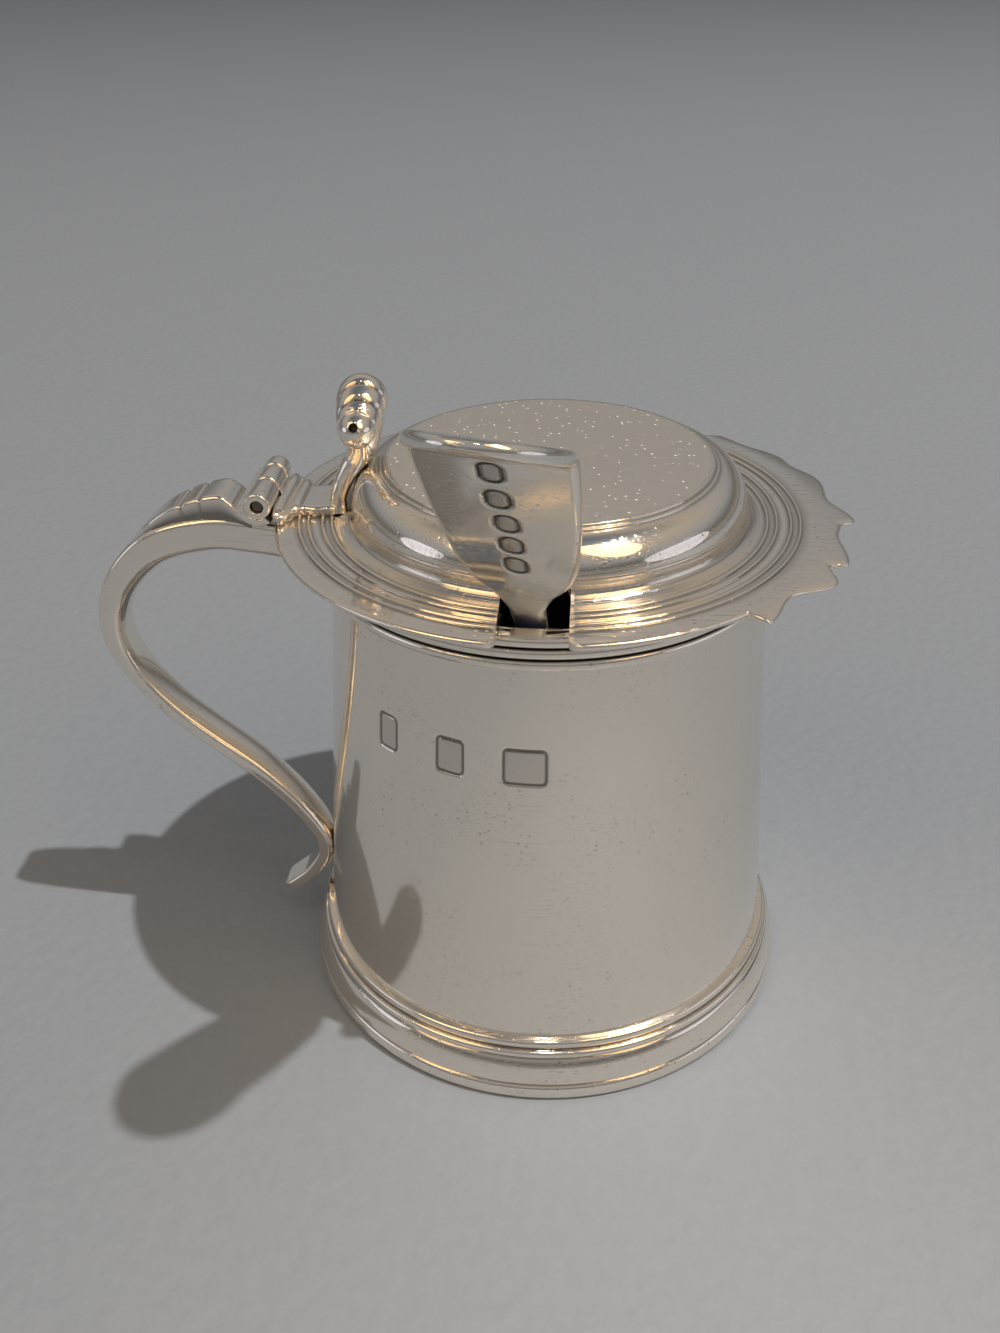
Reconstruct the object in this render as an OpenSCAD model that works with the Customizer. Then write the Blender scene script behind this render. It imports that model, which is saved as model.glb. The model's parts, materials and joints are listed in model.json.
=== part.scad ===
// Silver mustard pot in the form of a small tankard, with a hinged lid, a glass liner and a spoon.
// Millimetres. Origin at the centre of the foot, +Z up, +X to the front peak of the lid, -X to the handle.

/* [Body] */
// Outer diameter of the wall where it leaves the foot moulding
body_low_d = 55.1; // [48:0.1:66]
// Outer diameter of the wall at the rim
body_top_d = 47.8; // [42:0.1:56]
// Height of the rim above the table
rim_z = 58.6; // [48:0.1:80]
// Thickness of the silver wall
wall_t = 0.9; // [0.7:0.05:1.4]
// Height of the recess under the base plate
base_recess = 1.6; // [1:0.1:3]
// Thickness of the base plate
base_t = 1; // [0.8:0.1:2]

/* [Foot and rim mouldings] */
// Height of the foot moulding
foot_h = 7.8; // [6:0.1:11]
// How far the foot ring stands out from the wall
foot_out = 2.45; // [1.8:0.05:4]
// Height of the reeded rim moulding
rim_h = 3.8; // [3:0.1:5.5]
// How far the rim moulding stands out from the wall
rim_out = 1.5; // [1.2:0.05:2]

/* [Glass liner] */
// Clearance between the liner and the mouth of the pot
liner_gap = 0.4; // [0.3:0.05:1]
// Thickness of the glass
liner_t = 1.5; // [1.2:0.1:2]
// How far the edge of the liner lies below the rim
liner_drop = 5.8; // [5.5:0.1:9]

/* [Lid] */
// Clearance between the lid and the rim
lid_gap = 0.3; // [0.2:0.05:0.4]
// Thickness of the flange over the rim
flange_t = 1.6; // [1.3:0.05:2]
// Thickness of the flange at its edge
edge_t = 0.7; // [0.5:0.05:1]
// How far the flange overhangs the rim moulding
flange_out = 4.5; // [3.5:0.1:6]
// Thickness of the raised sheet of the lid
lid_t = 0.9; // [0.7:0.05:1.4]
// Height of the raised middle above the flange
lid_rise = 6.3; // [5:0.1:10]
// Radius of the flat top
top_r = 17.8; // [14:0.1:18.4]
// Radius of the foot of the raised middle
dome_r = 21.5; // [20.8:0.1:22]
// Height of a raised ring on the flange
ring_h = 0.3; // [0.15:0.05:0.5]
// Depth of the bezel under the lid
bezel_h = 2.3; // [1.5:0.1:2.6]
// Clearance between the bezel and the mouth of the pot
bezel_gap = 0.6; // [0.5:0.05:1]
// Thickness of the bezel
bezel_t = 0.9; // [0.7:0.05:1.2]
// How far the front peak stands out from the flange
crest_out = 2.95; // [2:0.05:4]

/* [Spoon notch] */
// Width of the notch
notch_w = 6.8; // [6.6:0.1:8]
// Offset of the notch from the middle of the side, towards the front
notch_x = -0.4; // [-0.6:0.1:-0.2]

/* [Hinge] */
// Distance of the pin from the edge of the flange
hinge_out = 1.2; // [1.1:0.05:1.6]
// Height of the pin above the flange
hinge_up = 1.95; // [1.85:0.05:2.5]
// Outer diameter of the knuckles
knuckle_d = 3; // [2.6:0.1:3.2]
// Length of the whole barrel
barrel_l = 11.4; // [9:0.1:13]
// Diameter of the pin
pin_d = 1.4; // [1:0.1:1.6]
// Radial clearance of the pin in its knuckles
pin_gap = 0.03; // [0.02:0.01:0.08]
// Clearance between neighbouring knuckles
knuckle_gap = 0.3; // [0.2:0.05:0.4]
// How far the pin lies inside the barrel at each end
pin_sunk = 0.5; // [0.2:0.05:1]

/* [Handle] */
// How far the handle reaches out from the wall
handle_reach = 25.6; // [20:0.1:32]
// Width of the handle at its top
handle_w = 6.4; // [5:0.1:7]
// Width of the handle at its tail
tail_w = 4; // [3:0.1:5]
// Depth of the handle at its top
handle_d = 4.6; // [4:0.1:5]
// Depth of the handle at its tail
tail_d = 2.1; // [1.8:0.1:2.6]
// Height at which the lower end touches the wall
handle_low_z = 12.8; // [11.5:0.1:15]
// Width of the hinge strap on the handle
strap_w = 5.8; // [4:0.1:6.2]
// Length of the hinge strap from the pin
strap_l = 14.6; // [13:0.1:15]

/* [Thumbpiece] */
// Height of the scroll's axis above the flange
scroll_up = 12.3; // [11.3:0.1:16]
// Radius of the largest turn of the scroll
scroll_r = 2.65; // [2.2:0.05:3]
// Width of the thumbpiece's strap
thumb_w = 6.6; // [5:0.1:8]
// Thickness of the thumbpiece's strap
thumb_t = 1.5; // [1.2:0.05:2]

/* [Spoon] */
// Thickness of the spoon's stem and plate
spoon_t = 1.3; // [1:0.05:1.5]
// Width of the stem
stem_w = 3.5; // [2.8:0.1:3.8]
// Length of the plate from the rim of the pot to its bend
plate_l = 30; // [27:0.1:33]
// Width of the plate at its bend
plate_w = 13.4; // [12.6:0.1:15]
// Width of the plate at its shoulders
shoulder_w = 11.6; // [10:0.1:12.4]
// Length of the round end beyond the bend
end_l = 8.5; // [6:0.1:10]
// Angle of the bend
end_bend = 31; // [20:1:45]
// Length of the stem from the rim of the pot down to the bowl
stem_l = 30; // [26:0.1:31]
// Length of the bowl
bowl_l = 14; // [10:0.1:14.5]
// Width of the bowl
bowl_w = 4.6; // [4:0.1:4.8]
// Depth of the bowl
bowl_d = 1.5; // [1:0.1:1.8]
// Lean of the spoon out of the pot
spoon_lean = 37; // [35:0.5:39]
// Turn of the leaning spoon towards the handle
spoon_turn = -6; // [-9:0.5:-3]
// Turn of the spoon about its stem
spoon_roll = -5; // [-8:0.5:-2]

/* [Hidden] */
$fn = 96;

// Soldered seams: the gap left between two pieces of one body
seam = 0.02;

// Wall, mouth and the levels that the lid takes from the rim
function wall_r(z) = body_low_d / 2 + (body_top_d - body_low_d) / 2 * (z - foot_h) / (rim_z - foot_h);
function wall_in(z) = wall_r(z) - wall_t;
foot_r = wall_r(foot_h) + foot_out;
rim_r = wall_r(rim_z) + rim_out;
mouth_r = wall_in(rim_z);
base_z = base_recess + base_t;
liner_r = mouth_r - liner_gap;
flange_z = rim_z + lid_gap;
flange_top = flange_z + flange_t;
flange_r = rim_r + flange_out;
lid_top = flange_top + lid_rise;
bezel_r = mouth_r - bezel_gap;
hinge_x = -(flange_r + hinge_out);
hinge_z = flange_top + hinge_up;
knuckle_r = knuckle_d / 2;
bore_r = pin_d / 2 + pin_gap;

// Points of an arc about c, from angle a0 to a1, with radii rx and ry
function arc(c, rx, ry, a0, a1, n = 8) =
    [for (i = [0:n]) let (a = a0 + (a1 - a0) * i / n) [c[0] + rx * cos(a), c[1] + ry * sin(a)]];

// Smooth step from 0 to 1
function ease(u) = u * u * (3 - 2 * u);

// A smooth curve through the points p, each span cut in n steps
function spline_at(p, i, u) =
    let (a = p[max(i - 1, 0)], b = p[i], c = p[i + 1], d = p[min(i + 2, len(p) - 1)])
    (2 * b + (c - a) * u + (2 * a - 5 * b + 4 * c - d) * u * u + (3 * b - a - 3 * c + d) * u * u * u) / 2;
function spline(p, n) =
    concat([for (i = [0:len(p) - 2]) for (k = [0:n - 1]) spline_at(p, i, k / n)], [p[len(p) - 1]]);

// A closed solid through a row of rings that have the same number of points
module skin(rings) {
    n = len(rings[0]);
    m = len(rings);
    sides = [for (i = [0:m - 2]) for (j = [0:n - 1])
        let (a = i * n + j, b = i * n + (j + 1) % n)
        each [[a, b, b + n], [a, b + n, a + n]]];
    caps = [[for (j = [n - 1:-1:0]) j], [for (j = [0:n - 1]) (m - 1) * n + j]];
    polyhedron([for (r = rings) each r], concat(sides, caps), convexity = 6);
}

// A polygon in the plane of X and Z, made w wide about Y = y
module plate_xz(points, w, y = 0) {
    translate([0, y + w / 2, 0]) rotate([90, 0, 0]) linear_extrude(w) polygon(points);
}

// A bar along Y with the pin's axis as its own
module on_pin(y0, y1) {
    translate([hinge_x, y0, hinge_z]) rotate([-90, 0, 0]) linear_extrude(y1 - y0) children();
}

// Body: a plain tapered tube, a base plate let into it, and two mouldings soldered round it
wall_z = 0.8;

module body_wall() {
    color("silver") rotate_extrude()
        polygon([[wall_in(wall_z), wall_z], [wall_r(wall_z), wall_z],
                 [wall_r(rim_z), rim_z], [mouth_r, rim_z]]);
}

module base_plate() {
    color("silver") rotate_extrude()
        polygon([[0, base_recess], [wall_in(base_recess) - seam, base_recess],
                 [wall_in(base_z) - seam, base_z], [0, base_z]]);
}

// Foot: a flat ring, a wide ovolo and two small beads, from the table up
foot_levels = [0, 2, 2.3, 5.6, 6.4, 6.6, 7.8];
foot_unit = foot_h / foot_levels[6];
function foot_level(i) = foot_levels[i] * foot_unit;

module foot_moulding() {
    ring_mid = (foot_level(0) + foot_level(1)) / 2;
    ovolo_mid = (foot_level(2) + foot_level(3)) / 2;
    bead_mid = (foot_level(3) + foot_level(4)) / 2;
    fillet_mid = (foot_level(5) + foot_level(6)) / 2;
    groove_r = foot_r - foot_out * 0.34;
    ovolo_r = foot_r - foot_out * 0.24;
    bead_r = foot_r - foot_out * 0.45;
    fillet_r = foot_r - foot_out * 0.6;
    color("silver") rotate_extrude() polygon(concat(
        [[wall_r(foot_h) + seam, foot_h], [wall_r(0) + seam, 0], [foot_r - 0.4, 0]],
        arc([foot_r - 0.4, ring_mid], 0.4, ring_mid - foot_level(0), -60, 90, 6),
        [[groove_r, foot_level(1)], [groove_r, foot_level(2)]],
        arc([ovolo_r - 0.5, ovolo_mid], 0.9, ovolo_mid - foot_level(2), -75, 75, 10),
        arc([bead_r - 0.1, bead_mid], 0.35, bead_mid - foot_level(3), -90, 90, 6),
        [[fillet_r - 0.3, foot_level(5)]],
        arc([fillet_r - 0.2, fillet_mid], 0.4, fillet_mid - foot_level(5), -70, 90, 6)));
}

module rim_moulding() {
    reeds = 3;
    reed_h = rim_h / reeds;
    reed_depth = 0.3;
    low_z = rim_z - rim_h;
    color("silver") rotate_extrude() polygon(concat(
        [[wall_r(rim_z) + seam, rim_z], [wall_r(low_z) + seam, low_z]],
        [for (i = [0:reeds - 1]) each arc([rim_r - reed_depth, low_z + reed_h * (i + 0.5)],
            reed_depth, reed_h / 2, -80, 80, 6)]));
}

module glass_liner() {
    top_z = rim_z - liner_drop;
    foot = base_z + seam;
    color("midnightblue") rotate_extrude()
        polygon([[0, foot], [liner_r - liner_t, foot], [liner_r, foot + liner_t], [liner_r, top_z],
                 [liner_r - liner_t, top_z], [liner_r - liner_t, foot + 2 * liner_t],
                 [liner_r - 2 * liner_t, foot + liner_t], [0, foot + liner_t]]);
}

// Handle: its line in shares of the reach and of the height between its two seats
handle_root_z = rim_z - 2.9;
handle_low_out = 1.15;
handle_rise = handle_root_z - handle_low_z;
handle_shares = [[0.311, 1.028], [0.56, 1.035], [0.825, 0.981], [1, 0.839], [0.99, 0.671],
                 [0.77, 0.485], [0.344, 0.268], [0.123, 0.112]];
tail_shares = [[0.11, -0.103], [0.256, -0.184]];
function handle_place(s) =
    let (z = handle_low_z + s[1] * handle_rise) [-(wall_r(z) + s[0] * handle_reach), z];
handle_line = spline(concat(
    [[-(rim_r - 0.6), handle_root_z]],
    [for (s = handle_shares) handle_place(s)],
    [[-(wall_r(handle_low_z) + handle_low_out), handle_low_z]],
    [for (s = tail_shares) handle_place(s)]), 5);
handle_last = len(handle_line) - 1;
function handle_dir(i) =
    let (t = handle_line[min(i + 1, handle_last)] - handle_line[max(i - 1, 0)]) t / norm(t);
function handle_out(i) = let (t = handle_dir(i)) [t[1], -t[0]];
// The handle thins over its first half and keeps that size to the tail
function handle_thin(i) = ease(min(1, max(0, (i / handle_last - 0.2) / 0.33)));
function handle_depth(i) = handle_d + (tail_d - handle_d) * handle_thin(i);
function handle_width(i) = handle_w + (tail_w - handle_w) * i / handle_last;
function handle_back(i) = handle_line[i] + handle_out(i) * handle_depth(i) / 2;

// A D-shaped section: flat on the outside, round towards the pot
function handle_ring(i) =
    let (p = handle_line[i], o = handle_out(i), d = handle_depth(i), w = handle_width(i), edge = 0.35,
         outline = concat([[d / 2, -w / 2 + edge], [d / 2, w / 2 - edge]],
                          [for (a = [0:22.5:180]) [d / 2 - edge - (d - edge) * sin(a), w / 2 * cos(a)]]))
    [for (q = outline) [p[0] + o[0] * q[0], q[1], p[1] + o[1] * q[0]]];

module handle() {
    low_z = rim_z - rim_h;
    color("silver") difference() {
        skin([for (i = [0:handle_last]) handle_ring(i)]);
        rotate_extrude() polygon([[0, 0], [wall_r(0) + seam, 0], [wall_r(low_z) + seam, low_z],
                                  [rim_r + seam, low_z], [rim_r + seam, rim_z], [0, rim_z]]);
    }
}

// Hinge strap on the handle: a leaf under the barrel, a valley, a hump and two grooved steps
leaf_x = hinge_x + 0.8;
leaf_back = 2.3;
leaf_t = 0.9;
leaf_drop = knuckle_r + 0.4;
strap_end = hinge_x - strap_l;
strap_fall = 2;
strap_back = [for (i = [0:handle_last]) let (p = handle_back(i))
    if (p[0] < leaf_x && p[0] > strap_end && p[1] > handle_root_z - strap_fall) p];
strap_steps = [[-1.2, -1.9], [-2.3, -2.1], [-3.4, -0.9], [-4.8, -0.1], [-7.2, -0.55], [-7.4, -0.95],
               [-7.6, -0.6], [-9.4, -1.2], [-9.6, -1.6], [-9.8, -1.3], [-12, -2.5], [-13.8, -4]];
strap_drawn_l = 14.6;
saddle_w = 1.4;

module handle_strap() {
    front_z = strap_back[0][1] + seam;
    leaf_top = hinge_z - leaf_drop;
    leaf_low = leaf_top - leaf_t;
    below = [for (p = strap_back) p + [0, seam]];
    top = [for (i = [len(strap_steps) - 1:-1:0])
        [hinge_x + strap_steps[i][0] * strap_l / strap_drawn_l, hinge_z + strap_steps[i][1]]];
    color("silver") {
        plate_xz(concat([[leaf_x, leaf_top], [leaf_x, front_z]], below, top), strap_w);
        plate_xz([[leaf_x, leaf_top], [leaf_x, leaf_low],
                  [hinge_x - leaf_back, leaf_low], [hinge_x - leaf_back, leaf_top]], barrel_l);
        for (i = [0, 2]) difference() {
            plate_xz([[leaf_x, leaf_low], [hinge_x - saddle_w, leaf_low],
                      [hinge_x - saddle_w, hinge_z - knuckle_r * 0.6], [leaf_x, hinge_z - knuckle_r * 0.9]],
                     knuckle_len(i), knuckle_mid(i));
            on_pin(-barrel_l, barrel_l) circle(knuckle_r + seam);
        }
    }
}

// Knuckles: two on the handle with the lid's one between them
knuckle_ends = [-0.5, -0.08, 0.27, 0.5];
function knuckle_from(i) = barrel_l * knuckle_ends[i] + (i > 0 ? knuckle_gap / 2 : 0);
function knuckle_to(i) = barrel_l * knuckle_ends[i + 1] - (i < 2 ? knuckle_gap / 2 : 0);
function knuckle_mid(i) = (knuckle_from(i) + knuckle_to(i)) / 2;
function knuckle_len(i) = knuckle_to(i) - knuckle_from(i);

module knuckle(i) {
    on_pin(knuckle_from(i), knuckle_to(i)) difference() {
        circle(knuckle_r);
        circle(bore_r);
    }
}
module hinge_knuckle_near() {
    color("silver") knuckle(0);
}
module hinge_knuckle_lid() {
    color("silver") knuckle(1);
}
module hinge_knuckle_far() {
    color("silver") knuckle(2);
}
module hinge_pin() {
    color("gray") on_pin(-barrel_l / 2 + pin_sunk, barrel_l / 2 - pin_sunk) circle(pin_d / 2);
}

// Lid: one raised sheet with a flange, four raised rings, a hollow, a round shoulder and a flat top
ring_offsets = [2.7, 3.7, 5.1, 6.2];
hollow_w = 1.7;
hollow_h = 1.4;
step_h = 0.3;
flat_out = 0.8;
// Outline of the crest, in degrees from the front and shares of crest_out: eased lobes, cusps and notches
crest_keys = [[-49.2, -0.3], [-47.6, 0.68], [-37.5, 0.22], [-27.2, 0.95], [-22, 0.44], [-19.3, 0.92], [-8, 0.42],
              [-4, 0.5], [0, 1.08], [8.5, 0.52], [20, 0.92], [27, 0.6], [32.5, 0.78], [42, 0.36], [48.5, 0.5],
              [51.6, -0.3]];
crest_last = len(crest_keys) - 1;
function crest_lobe(i, n) = [for (k = [0:n - 1]) let (u = k / n, a = crest_keys[i], b = crest_keys[i + 1])
    [a[0] + (b[0] - a[0]) * u, a[1] + (b[1] - a[1]) * ease(u)]];
crest_line = concat([for (i = [0:crest_last - 1]) each crest_lobe(i, 5)], [crest_keys[crest_last]]);
function crest_point(k) = let (r = flange_r + crest_out * k[1]) [r * cos(k[0]), r * sin(k[0])];

// The spoon leans through the notch: a slot in the flange, and a hole along the spoon that takes its bowl
seat_x = -1;
seat_in = 0.95;
seat_up = 0.9;
spoon_seat = [seat_x, -(mouth_r - seat_in), rim_z + seat_up];
notch_back = spoon_t / 2 + 0.6;
notch_front = bowl_d + 1.3;
notch_reach = 7;
hole_w = notch_w - 0.3;

module notch_slot(low, high, inner) {
    translate([notch_x - notch_w / 2, -flange_r - 1, low]) cube([notch_w, flange_r + 1 - inner, high - low]);
}

module spoon_hole() {
    translate([notch_x, spoon_seat[1], spoon_seat[2]]) rotate([spoon_lean, 0, 0])
        translate([-hole_w / 2, -notch_back, -notch_reach])
            cube([hole_w, notch_back + notch_front, 2 * notch_reach]);
}

module lid_cover() {
    shoulder_z = flange_top + hollow_h;
    shoulder_h = lid_top - 2 * step_h - shoulder_z;
    step_r = top_r + 0.4;
    in_r = dome_r - lid_t;
    in_top_r = top_r - lid_t;
    crest_t = edge_t - 0.1;
    color("silver") difference() {
        union() {
            rotate_extrude() polygon(concat(
                [[0, lid_top - lid_t]],
                arc([in_top_r, flange_top], in_r - in_top_r, lid_top - lid_t - flange_top, 90, 0, 8),
                [[in_r, flange_z], [rim_r + flat_out, flange_z],
                 [flange_r, flange_top - edge_t], [flange_r, flange_top]],
                [for (o = ring_offsets) each arc([flange_r - o, flange_top], ring_h, ring_h, 0, 180, 6)],
                arc([dome_r + hollow_w, flange_top + hollow_h], hollow_w, hollow_h, -90, -180, 5),
                arc([step_r, shoulder_z], dome_r - step_r, shoulder_h, 0, 90, 8),
                [[step_r, lid_top - step_h], [top_r, lid_top - step_h], [top_r, lid_top], [0, lid_top]]));
            translate([0, 0, flange_top - crest_t]) linear_extrude(crest_t)
                polygon(concat([[dome_r + hollow_w, 0]], [for (k = crest_line) crest_point(k)]));
        }
        union() {
            notch_slot(flange_z - 1, lid_top + 1, dome_r);
            spoon_hole();
        }
    }
}

module lid_bezel() {
    color("silver") difference() {
        rotate_extrude() polygon([[bezel_r - bezel_t, flange_z - bezel_h], [bezel_r, flange_z - bezel_h],
                                  [bezel_r, flange_z - seam], [bezel_r - bezel_t, flange_z - seam]]);
        notch_slot(flange_z - bezel_h - 1, flange_z, bezel_r - bezel_t - 1);
    }
}

// Hinge strap on the lid: a web to its knuckle, two ridges beside the barrel and a plate to the thumbpiece
plate_t = 0.7;
ridge_r = 0.6;
thumb_x = -(dome_r + 1.4);

module lid_strap() {
    plate_z = flange_top + ring_h + seam;
    ridge_x = [hinge_x + knuckle_r + ridge_r + 0.2, hinge_x + knuckle_r + 3 * ridge_r + 0.5];
    web_end = hinge_x + knuckle_r + 0.35;
    plate_end = thumb_x - thumb_t / 2 - seam;
    color("silver") {
        plate_xz([[ridge_x[0] - ridge_r, plate_z], [plate_end, plate_z], [plate_end, plate_z + plate_t],
                  [ridge_x[0] - ridge_r, plate_z + plate_t]], thumb_w);
        for (x = ridge_x)
            plate_xz(concat([[x + ridge_r, plate_z], [x + ridge_r, plate_z + plate_t]],
                            arc([x, plate_z + plate_t], ridge_r, ridge_r, 15, 165, 6),
                            [[x - ridge_r, plate_z + plate_t], [x - ridge_r, plate_z]]), barrel_l);
        difference() {
            plate_xz([[hinge_x, hinge_z], [hinge_x + knuckle_r * 0.8, plate_z], [web_end, plate_z],
                      [web_end + 0.2, plate_z + plate_t], [hinge_x + knuckle_r, hinge_z]],
                     knuckle_len(1), knuckle_mid(1));
            on_pin(-barrel_l, barrel_l) circle(knuckle_r + seam);
        }
    }
}

// Thumbpiece: a bent strap that stands on the flange and carries a double corkscrew scroll
scroll_x = thumb_x + 3;
turns = [[0, 0, 1, 1.5], [2.1, -0.4, 0.92, 1], [3.2, -1, 0.77, 0.9]];
eye_y = 4.3;
eye_drop = 1.9;
eye_share = 0.57;

// A disc about Y with a rounded edge
module scroll_turn(y, z, r, half) {
    translate([scroll_x, y, z]) rotate([90, 0, 0]) rotate_extrude()
        polygon(concat([[0, -half]], arc([r - 0.6, 0], 0.6, half, -90, 90, 8), [[0, half]]));
}

module thumbpiece() {
    scroll_z = flange_top + scroll_up;
    foot_z = flange_top + ring_h + seam;
    neck_z = scroll_z - scroll_r - 1.6;
    half = thumb_t / 2;
    color("silver") {
        plate_xz([[thumb_x - half, foot_z], [thumb_x + half, foot_z], [thumb_x + half + 0.3, foot_z + 2.4],
                  [scroll_x + 0.9, neck_z], [scroll_x + 1.7, scroll_z - 1], [scroll_x - 1.9, scroll_z - 1],
                  [scroll_x - 1.6, neck_z], [thumb_x - half + 0.2, foot_z + 2.6]], thumb_w);
        for (t = turns, side = t[0] > 0 ? [-1, 1] : [1])
            scroll_turn(side * t[0], scroll_z + t[1], scroll_r * t[2], t[3]);
        for (side = [-1, 1])
            translate([scroll_x, side * eye_y, scroll_z - eye_drop]) sphere(scroll_r * eye_share);
    }
}

// Spoon: a fiddle-shaped plate with a round end bent forward, a flat stem and a small bowl, leaning in the notch
stem_end_w = 2.4;
bend_over = 0.05;
bowl_t = 0.8;
bowl_lap = 0.6;
// The shoulder, in shares of the widening from the stem and of the plate's length
shoulder_shares = [[0, 0.02], [0.1, 0.083], [0.6, 0.224], [0.9, 0.34], [1, 0.47]];

// Half of the spoon's outline from the bowl up: a tapered stem, a hollow, a round shoulder and a slight flare
function plate_edge(side) = [for (p = concat(
    [[stem_end_w / 2, -stem_l]],
    spline([for (s = shoulder_shares)
        [stem_w / 2 + (shoulder_w - stem_w) / 2 * s[0], plate_l * s[1]]], 3),
    [[plate_w / 2, plate_l]])) [side * p[0], p[1]]];

// A section of the bowl at the share u of its length: its back is flush with the stem and its edges turn up
function bowl_ring(u) =
    let (w = bowl_w / 2 * sqrt(1 - 0.84 * pow(2 * u - 1, 2)), d = bowl_d * sin(150 * u + 15),
         z = bowl_lap - stem_l - bowl_l * u, low = -spoon_t / 2 + bowl_d * 0.4 * u * u)
    concat([for (k = [0:8]) let (a = k / 4 - 1) [w * a, low + d * a * a, z]],
           [for (k = [8:-1:0]) let (a = k / 4 - 1) [w * a, low + d * a * a + bowl_t, z]]);

module mustard_spoon() {
    right = plate_edge(1);
    left = plate_edge(-1);
    color("silver") translate(spoon_seat) rotate([spoon_lean, 0, spoon_turn]) rotate([0, 0, spoon_roll]) {
        translate([0, spoon_t / 2, 0]) rotate([90, 0, 0]) linear_extrude(spoon_t)
            polygon(concat(right, [for (i = [len(left) - 1:-1:0]) left[i]]));
        translate([-plate_w / 2 - bend_over, 0, plate_l]) rotate([0, 90, 0])
            cylinder(r = spoon_t / 2 + bend_over, h = plate_w + 2 * bend_over);
        translate([0, 0, plate_l]) rotate([end_bend, 0, 0]) translate([0, spoon_t / 2, 0]) rotate([90, 0, 0])
            linear_extrude(spoon_t) polygon(arc([0, 0], plate_w / 2, end_l, 0, 180, 24));
        skin([for (k = [0:12]) bowl_ring(k / 12)]);
    }
}

body_wall();
base_plate();
foot_moulding();
rim_moulding();
handle();
handle_strap();
hinge_knuckle_near();
hinge_knuckle_far();
hinge_pin();
glass_liner();
lid_cover();
lid_bezel();
lid_strap();
hinge_knuckle_lid();
thumbpiece();
mustard_spoon();
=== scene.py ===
import json

import bmesh
import bpy
import numpy as np
from mathutils import Matrix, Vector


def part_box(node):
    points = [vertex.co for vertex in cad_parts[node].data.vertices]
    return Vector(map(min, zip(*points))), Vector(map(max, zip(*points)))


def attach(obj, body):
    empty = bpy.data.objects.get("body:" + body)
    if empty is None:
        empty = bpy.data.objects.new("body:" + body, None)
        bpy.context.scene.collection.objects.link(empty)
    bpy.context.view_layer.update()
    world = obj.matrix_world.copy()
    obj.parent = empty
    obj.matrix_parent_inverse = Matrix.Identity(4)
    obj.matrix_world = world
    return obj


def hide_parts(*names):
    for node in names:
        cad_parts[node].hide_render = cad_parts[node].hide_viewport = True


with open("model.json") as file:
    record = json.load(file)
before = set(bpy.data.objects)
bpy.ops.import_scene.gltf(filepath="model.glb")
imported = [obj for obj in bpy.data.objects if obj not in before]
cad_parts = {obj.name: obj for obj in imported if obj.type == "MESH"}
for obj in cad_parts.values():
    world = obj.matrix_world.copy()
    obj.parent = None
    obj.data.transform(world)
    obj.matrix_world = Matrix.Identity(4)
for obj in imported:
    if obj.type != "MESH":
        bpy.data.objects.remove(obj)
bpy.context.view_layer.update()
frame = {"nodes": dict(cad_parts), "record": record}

# Wall of the pot
# A tapered tube of sheet silver, rolled, seamed and planished, then buffed until it mirrors the table.
# Three small punches stand in a row on its side, as on most worked silver, and are left blank.
MM = 0.001


def box_mm(node):
    """Lowest and highest corner of a CAD piece, in millimetres."""
    return np.array(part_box(node)) / MM


def shell(points, close_rows=False, close_cols=True):
    """A grid of points and its sets of faces: quad (i, j) joins point (i, j) to the next row and column."""
    rows, cols = points.shape[:2]
    i = np.arange(rows if close_rows else rows - 1)[:, None]
    j = np.arange(cols if close_cols else cols - 1)[None, :]
    below, right = (i + 1) % rows, (j + 1) % cols
    quads = np.stack([i * cols + j, i * cols + right, below * cols + right, below * cols + j], -1)
    return points.reshape(-1, 3), [quads.reshape(-1, 4)]


def turned(profile, angles):
    """Surface turned about Z: row i, column j is (r_i cos a_j, r_i sin a_j, z_i)."""
    r, z = profile[:, :1], profile[:, 1:]
    return np.stack([r * np.cos(angles), r * np.sin(angles), z + 0 * angles], -1)


def smooth(u):
    """Eased step from 0 to 1: u^2 (3 - 2u), held at its ends."""
    u = np.clip(u, 0, 1)
    return u * u * (3 - 2 * u)


def punched(u, v, w, h, corner, depth):
    """Depth of a blank punch: a smooth ditch inside the edge of a round-cornered oblong, and a raised field.
    The distance to the edge is |max(q, 0)| + min(max(q), 0) - corner, q = |(u, v)| - (half size - corner)."""
    qu, qv = np.abs(u) - (w / 2 - corner), np.abs(v) - (h / 2 - corner)
    inside = corner - np.hypot(np.maximum(qu, 0), np.maximum(qv, 0)) - np.minimum(np.maximum(qu, qv), 0)
    ditch_w, field_in, field_w, field_rise = 0.2, 0.3, 0.25, 0.7
    return depth * (smooth(inside / ditch_w) - field_rise * smooth((inside - field_in) / field_w))


def srgb(code):
    """A hex colour such as #8090A0 as linear RGBA."""
    c = np.array([int(code[k:k + 2], 16) for k in (1, 3, 5)]) / 255
    linear = np.where(c <= 0.04045, c / 12.92, ((c + 0.055) / 1.055) ** 2.4)
    return (*linear.tolist(), 1.0)


def feed(tree, node, inputs):
    """Sets a node's sockets to values, or links them to other sockets or to the first outputs of nodes."""
    for key, value in inputs.items():
        if isinstance(value, bpy.types.Node):
            value = value.outputs[0]
        if isinstance(value, bpy.types.NodeSocket):
            tree.links.new(value, node.inputs[key])
        else:
            node.inputs[key].default_value = value


def add_node(tree, kind, inputs=None, **settings):
    """Adds a node with its settings and feeds its sockets."""
    node = tree.nodes.new(kind)
    for key, value in settings.items():
        setattr(node, key, value)
    feed(tree, node, inputs or {})
    return node


def new_finish(name):
    """A fresh material with its node tree, its shader and the place on the piece that its patterns follow."""
    material = bpy.data.materials.new(name)
    material.use_nodes = True
    tree = material.node_tree
    place = add_node(tree, "ShaderNodeTexCoord").outputs["Object"]
    return material, tree, tree.nodes["Principled BSDF"], place


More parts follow.
